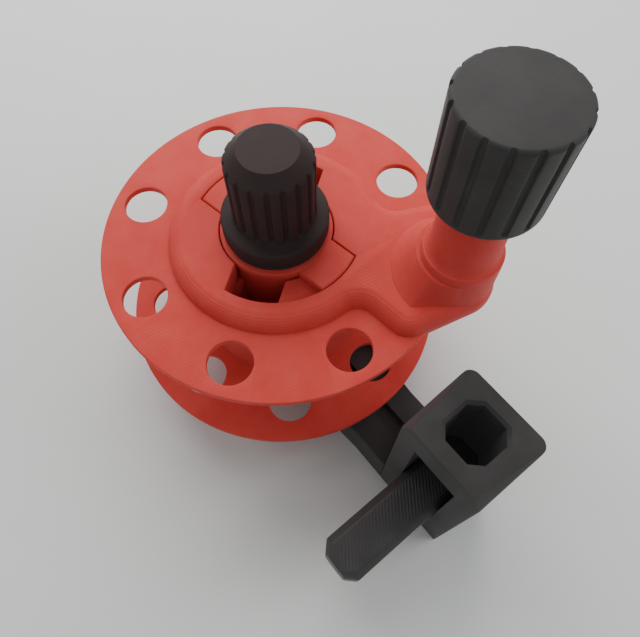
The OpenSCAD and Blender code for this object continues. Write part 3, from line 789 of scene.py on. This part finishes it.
class REEL_OT_spool(bpy.types.Operator):
    """Make the drum with its lower plate and ribs, and the bayonet hub that stands in it"""
    bl_idname = "reel.spool"
    bl_label = "Spool and hub"

    def execute(self, context):
        s = context.scene.reel_spool
        lock = context.scene.reel_bayonet
        top = SPOOL_LOW + s.plate_thickness
        floor = SPOOL_LOW + s.floor
        inner = s.drum_radius - s.drum_wall
        fillet = 1.2 * MM
        edge = 0.4 * MM
        rib_half = MM
        rib_top = SPOOL_TOP - 1.9 * MM
        screws = 4
        screw_circle = lock.hub_radius - 4.4 * MM
        profile = [(lock.flange_radius, SPOOL_LOW)] + plate_rim(s.plate_radius, SPOOL_LOW, top)
        profile += [(s.drum_radius + fillet, top), (s.drum_radius + 0.35 * MM, top + 0.35 * MM),
                    (s.drum_radius, top + fillet), (s.drum_radius, SPOOL_TOP - edge),
                    (s.drum_radius - edge, SPOOL_TOP), (inner + edge, SPOOL_TOP),
                    (inner, SPOOL_TOP - edge), (inner, floor), (lock.flange_radius, floor)]
        drum = lathe("Spool_drum", profile, 192, closed=True)
        lug_turn = HANDLE_TURN - pi / 2 + lock.twist
        rib = box("Rib", (lock.hub_radius + 0.1 * MM, -rib_half, floor - 0.5 * MM),
                  (inner + 0.5 * MM, rib_half, rib_top))
        in_a_row(drum, rib, "UNION", s.ribs, RED, None, lug_turn + pi / s.ribs)
        hole = hole_cutter(s.low_radius, s.hole_lip, SPOOL_LOW, top, (s.low_ring, 0))
        in_a_row(drum, hole, "DIFFERENCE", s.holes, RED, None, lug_turn)
        sink = countersink(3 * MM, 1.6 * MM, SPOOL_LOW, floor + MM)
        cutter = lathe("Sink_cutter", sink, 32, (screw_circle, 0))
        in_a_row(drum, cutter, "DIFFERENCE", screws, RED, None, lug_turn + pi / screws)
        finished(drum, "spool", ["spool_drum"], "red_print")

        hub_edge = 0.5 * MM
        lug_low = CROWN_TOP - lock.lug_thickness
        under = lug_low + 0.5 * MM
        profile = [(lock.flange_radius, HUB_LOW), (lock.hub_radius, HUB_LOW), (lock.hub_radius, under),
                   (lock.disc_radius, under + 0.4 * MM)]
        profile += corner(lock.disc_radius, CROWN_TOP - hub_edge, lock.disc_radius - hub_edge, CROWN_TOP)
        upper = CROWN_TOP - lock.flange_depth
        lower = HUB_LOW + lock.flange_depth
        profile += [(lock.flange_radius, CROWN_TOP), (lock.flange_radius, upper), (lock.bush_radius, upper),
                    (lock.bush_radius, lower), (lock.flange_radius, lower)]
        hub = lathe("Bayonet_hub", profile, 160, closed=True)
        lugs = []
        lug_root = 10 * MM
        for side in (0, pi):
            levels = []
            for z, inset in ((lug_low, 0.2), (lug_low + 0.2 * MM, 0), (CROWN_TOP - hub_edge, 0),
                             (CROWN_TOP - 0.3 * MM, 0.08), (CROWN_TOP - 0.1 * MM, 0.4)):
                r = lock.lug_reach - inset * MM
                w = lock.lug_width / 2 - inset * MM
                swing = asin(w / r)
                flat = [(lug_root, w), (lug_root, -w)] + arc((0, 0), r, -swing, swing, 24)
                levels.append([(x, y, z) for x, y in turned(flat, lug_turn + side)])
            lugs.append(skin("Lug", levels))
        joined(hub, lugs, "UNION")
        finished(hub, "spool", ["bayonet_hub"], "red_print")
        return {"FINISHED"}


class REEL_OT_winding_knob(bpy.types.Operator):
    """Make the fluted winding knob and the cap in its top"""
    bl_idname = "reel.winding_knob"
    bl_label = "Winding knob"

    def execute(self, context):
        s = context.scene.reel_knobs
        foot = low("winding_knob")[2]
        top = high("winding_knob")[2]
        side = top - s.top_edge
        cap_low = low("knob_cap")[2]
        cap_r = (high("knob_cap")[0] - low("knob_cap")[0]) / 2
        well = high("knob_bush")[2]
        recess = cap_r + 0.1 * MM
        shoulder = 0.6 * MM
        flutes_from = foot + 1.2 * MM
        profile = [(s.bore, foot), (s.foot_radius - 0.6 * MM, foot),
                   (s.foot_radius - 0.15 * MM, foot + 0.2 * MM), (s.foot_radius, foot + 0.7 * MM)]
        profile += between(profile[-1], (s.foot_radius, foot + 2.3 * MM), 5)
        profile += between(profile[-1], (s.top_radius, side - 0.2 * MM), 2)
        profile += corner(s.top_radius, side, s.top_radius - s.top_edge, top, 9)
        profile += [(recess, top), (recess, cap_low),
                    (s.well_radius, cap_low), (s.well_radius, well), (s.bore, well)]
        knob = fluted("Winding_knob", profile, s.top_radius, s.flute_depth, s.flute_width, shoulder, s.flutes,
                      flutes_from, HANDLE, HANDLE_TURN, True)
        finished(knob, "winding_knob", ["winding_knob"], "black_print")
        lid = [(0, cap_low), (recess, cap_low), (recess, top), (0, top)]
        cap = lathe("Knob_cap", lid, 128, HANDLE)
        finished(cap, "winding_knob", ["knob_cap"], "black_print")
        return {"FINISHED"}


class REEL_OT_drag_knob(bpy.types.Operator):
    """Make the fluted drag knob on the spindle"""
    bl_idname = "reel.drag_knob"
    bl_label = "Drag knob"

    def execute(self, context):
        s = context.scene.reel_knobs
        foot = low("drag_knob")[2]
        top = high("drag_knob")[2]
        seat = high("drag_insert")[2]
        insert_r = high("drag_insert")[0]
        blind = high("spindle_bolt")[2] + 0.9 * MM
        bolt_r = 4.3 * MM
        collar = foot + s.collar_height
        collar_edge = 0.9 * MM
        shoulder = 0.8 * MM
        grip = top - s.drag_bevel
        profile = [(0, blind), (bolt_r, blind), (bolt_r, seat), (insert_r, seat), (insert_r, foot),
                   (s.collar_radius - 0.5 * MM, foot), (s.collar_radius - 0.1 * MM, foot + 0.2 * MM),
                   (s.collar_radius, foot + 0.6 * MM)]
        profile += corner(s.collar_radius, collar - collar_edge, s.collar_radius - collar_edge, collar, 6)
        profile += [(s.grip_radius + 0.6 * MM, collar + 0.25 * MM),
                    (s.grip_radius + 0.15 * MM, collar + 0.45 * MM), (s.grip_radius, collar + 0.8 * MM)]
        profile += between(profile[-1], (s.grip_radius, collar + 2.4 * MM), 6)
        profile += [(s.grip_radius, grip - 0.3 * MM), (s.grip_radius - 0.2 * MM, grip + 0.2 * MM)]
        profile += between(profile[-1], (s.grip_radius - s.drag_bevel + 0.1 * MM, top - 0.08 * MM), 12)
        profile += [(s.grip_radius - s.drag_bevel - t * MM, top) for t in (0, 0.4)] + [(0, top)]
        knob = fluted("Drag_knob", profile, s.grip_radius, s.flute_depth, s.flute_width, shoulder,
                      s.drag_flutes, collar + MM)
        # The drag knob gets the darker, warmer copy of the black: painted shade
        finished(knob, "drag_knob", ["drag_knob"], "black_print", coat=SHADED_BLACK)
        washer_low = low("pressure_washer")[2]
        washer_high = high("pressure_washer")[2]
        hidden = s.grip_radius
        ring = [(bolt_r, washer_low), (hidden, washer_low), (hidden, washer_high), (bolt_r, washer_high)]
        washer = lathe("Pressure_washer", ring, closed=True)
        finished(washer, "drag_press", ["pressure_washer"], "zinc_steel")
        return {"FINISHED"}


class REEL_OT_arm_and_block(bpy.types.Operator):
    """Make the arm under the spool and the block with the rod socket and the peg's slot"""
    bl_idname = "reel.arm_and_block"
    bl_label = "Arm and block"

    def execute(self, context):
        s = context.scene.reel_block
        half = high("mount_block")[1]
        start = low("mount_block")[0]
        arm_top = low("thrust_washer")[2]
        # The arm gets wider from here to its pad, and laps into the block a little inside its near face
        wide_from = 52 * MM
        pad_edge = atan2(half, wide_from) + acos(s.pad_radius / hypot(half, wide_from))
        lap = start + s.corner
        near = 0.3 * MM - half
        outline = [(lap, near), (lap, half), (wide_from, half)]
        outline += arc((0, 0), s.pad_radius, pad_edge, 2 * pi - pad_edge, 60)
        outline += [(wide_from, -half), (start, -half), (start, near)]
        arm = prism("Reel_arm", outline, 0, arm_top)
        eased(arm, 0.5 * MM)
        tenon_end = high("frame_arm")[0]
        tenon = box("Tenon", (start - MM, -TENON_HALF, TENON_LOW), (tenon_end, TENON_HALF, TENON_HIGH))
        joined(arm, [tenon], "UNION")
        six = hexagon(s.hex_recess)
        bolt = [(0, -MM), (s.bolt_hole, -MM), (s.bolt_hole, arm_top + MM), (0, arm_top + MM)]
        groove_from = s.pad_radius + 4 * MM
        cutters = [box("Groove", (groove_from, -s.groove_width / 2, arm_top - s.groove_depth),
                       (start + MM, s.groove_width / 2, arm_top + MM)),
                   lathe("Bolt_hole", bolt, 64),
                   prism("Head_recess", six, -MM, s.hex_depth),
                   prism("Nut_recess", six, arm_top - s.hex_depth, arm_top + MM)]
        joined(arm, cutters, "DIFFERENCE")
        finished(arm, "frame", ["frame_arm"], "black_print")

        end = high("mount_block")[0]
        top = high("mount_block")[2]
        block = prism("Rod_block", round_corners(start, end, half, s.corner, 0.5 * MM), 0, top)
        joined(block, [slope_cutter(start, 1, top, half, s.slope_width, s.slope_drop),
                       slope_cutter(end, -1, top, half, s.slope_width, s.slope_drop)], "DIFFERENCE")
        eased(block, 0.6 * MM)
        middle = (start + end) / 2
        levels = []
        for z, wider in ((top - s.socket_depth, 0), (top - s.socket_bevel, 0), (top, s.socket_bevel),
                         (top + MM, s.socket_bevel)):
            w = s.socket_width / 2 + wider
            k = w - s.socket_corner - 0.3 * wider
            flat = [(k, -w), (w, -k), (w, k), (k, w)]
            flat += [(-x, -y) for x, y in flat]
            levels.append([(middle + x, y, z) for x, y in flat])
        peg_low = low("foot_peg")
        peg_high = high("foot_peg")
        w = (peg_high[0] - peg_low[0]) / 2 + s.peg_gap
        cutters = [skin("Socket", levels),
                   box("Peg_slot", (middle - w, -half - MM, peg_low[2] - 0.1 * MM),
                       (middle + w, peg_high[1] + 0.3 * MM, peg_high[2] + s.peg_gap)),
                   box("Slot_head", (middle - w, -half - MM, peg_low[2]),
                       (middle + w, 0, peg_high[2] + s.slot_head)),
                   box("Tenon_room", (start - MM, -TENON_HALF - TENON_GAP, TENON_LOW - TENON_GAP),
                       (tenon_end + 0.3 * MM, TENON_HALF + TENON_GAP, TENON_HIGH + TENON_GAP))]
        sink = countersink(3.9 * MM, 2.1 * MM, 0, 4 * MM)
        for share in (0.25, 0.75):
            cutters.append(lathe("Screw_sink", sink, 40, (start + (tenon_end - start) * share, 0)))
        joined(block, cutters, "DIFFERENCE")
        finished(block, "frame", ["mount_block"], "black_print")
        return {"FINISHED"}


class REEL_OT_peg(bpy.types.Operator):
    """Make the peg that slides out of the block"""
    bl_idname = "reel.peg"
    bl_label = "Peg"

    def execute(self, context):
        s = context.scene.reel_block
        a = low("foot_peg")
        b = high("foot_peg")
        x = (a[0] + b[0]) / 2
        z = (a[2] + b[2]) / 2
        w = (b[0] - a[0]) / 2
        e = s.peg_edge
        taper = 1.4 * e
        k = w - e
        rings = []
        for y, inset in ((a[1], taper), (a[1] + taper, 0), (b[1], 0)):
            v = w - inset
            flat = [(v - e, -w), (v, -k), (v, k), (v - e, w)]
            flat += [(-p, -q) for p, q in flat]
            rings.append([(x + p, y, z + q) for p, q in flat])
        peg = skin("Peg", rings)
        eased(peg, 0.4 * MM, 3, 20)
        finished(peg, "peg", ["foot_peg"], "black_print", coat=COARSE_BLACK)
        return {"FINISHED"}


class REEL_OT_small_parts(bpy.types.Operator):
    """Give the bolts, nuts, screws, washers and bushes their metal, nylon and felt finishes"""
    bl_idname = "reel.small_parts"
    bl_label = "Bolts, washers and bushes"

    def execute(self, context):
        kinds = {"Zinc plated steel": ["arm_screws", "spindle_bolt", "spindle_nut", "hub_screws",
                                       "handle_bolt", "handle_nut", "knob_washer", "knob_lock_nut"],
                 "Turned brass": ["lower_bush", "upper_bush", "knob_bush", "drag_insert"],
                 "Moulded nylon": ["thrust_washer"], "Pressed wool felt": ["drag_felt"]}
        for material, names in kinds.items():
            for name in names:
                solid = frame["nodes"][name].data
                solid.materials.clear()
                solid.materials.append(finish(material))
        return {"FINISHED"}


class REEL_OT_stage(bpy.types.Operator):
    """Set the floor, the lights and the camera"""
    bl_idname = "reel.stage"
    bl_label = "Stage"

    def execute(self, context):
        scene = context.scene
        view = scene.reel_view
        lens = bpy.data.cameras.new("Camera")
        lens.sensor_width = 36.0
        lens.lens = view.lens
        lens.clip_start = 0.005
        camera = bpy.data.objects.new("Camera", lens)
        camera.location = view.place
        camera.rotation_euler = (view.tilt, 0.0, view.turn)
        scene.collection.objects.link(camera)
        scene.camera = camera
        reach = 1.5
        floor = box("Floor", (-reach, -reach, -0.01), (reach, reach, 0.0))
        floor.data.materials.append(plain_floor("Matt table cover", scene.reel_finish.floor))
        target = Vector((0.02, 0.0, 0.05))
        for name, place, size, power in (("Window light", (-0.3, 0.15, 0.36), 0.6, 2.9),
                                         ("Fill light", (0.3, 0.36, 0.4), 0.4, 1.0)):
            lamp = bpy.data.lights.new(name, "AREA")
            lamp.shape = "DISK"
            lamp.size = size
            lamp.energy = power
            light = bpy.data.objects.new(name, lamp)
            light.location = place
            aim = target - Vector(place)
            light.rotation_euler = aim.to_track_quat("-Z", "Y").to_euler()
            scene.collection.objects.link(light)
        world = bpy.data.worlds.new("Soft room")
        world.use_nodes = True
        back = world.node_tree.nodes["Background"]
        back.inputs["Color"].default_value = linear("E8ECEE")
        back.inputs["Strength"].default_value = 0.6
        scene.world = world
        return {"FINISHED"}


class REEL_PT_panel(bpy.types.Panel):
    """The reel's pieces, one button each"""
    bl_idname = "REEL_PT_panel"
    bl_label = "Fishing reel"
    bl_space_type = "VIEW_3D"
    bl_region_type = "UI"
    bl_category = "Reel"

    def draw(self, context):
        for step in STEPS:
            self.layout.operator(step.bl_idname)


STEPS = (REEL_OT_stage, REEL_OT_crank_plate, REEL_OT_spool, REEL_OT_winding_knob, REEL_OT_drag_knob,
         REEL_OT_arm_and_block, REEL_OT_peg, REEL_OT_small_parts)
GROUPS = {"reel_spool": ReelSpoolSizes, "reel_bayonet": ReelBayonetSizes, "reel_crown": ReelCrownSizes,
          "reel_knobs": ReelKnobSizes, "reel_block": ReelBlockSizes, "reel_finish": ReelFinish,
          "reel_view": ReelView}


def register():
    for group in GROUPS.values():
        bpy.utils.register_class(group)
    for name, group in GROUPS.items():
        setattr(bpy.types.Scene, name, PointerProperty(type=group))
    for step in STEPS + (REEL_PT_panel,):
        bpy.utils.register_class(step)


def unregister():
    for step in reversed(STEPS + (REEL_PT_panel,)):
        bpy.utils.unregister_class(step)
    for name in GROUPS:
        delattr(bpy.types.Scene, name)
    for group in GROUPS.values():
        bpy.utils.unregister_class(group)


def main():
    register()
    bpy.ops.reel.stage()
    bpy.ops.reel.crank_plate()
    bpy.ops.reel.spool()
    bpy.ops.reel.winding_knob()
    bpy.ops.reel.drag_knob()
    bpy.ops.reel.arm_and_block()
    bpy.ops.reel.peg()
    bpy.ops.reel.small_parts()


if __name__ == "__main__":
    main()
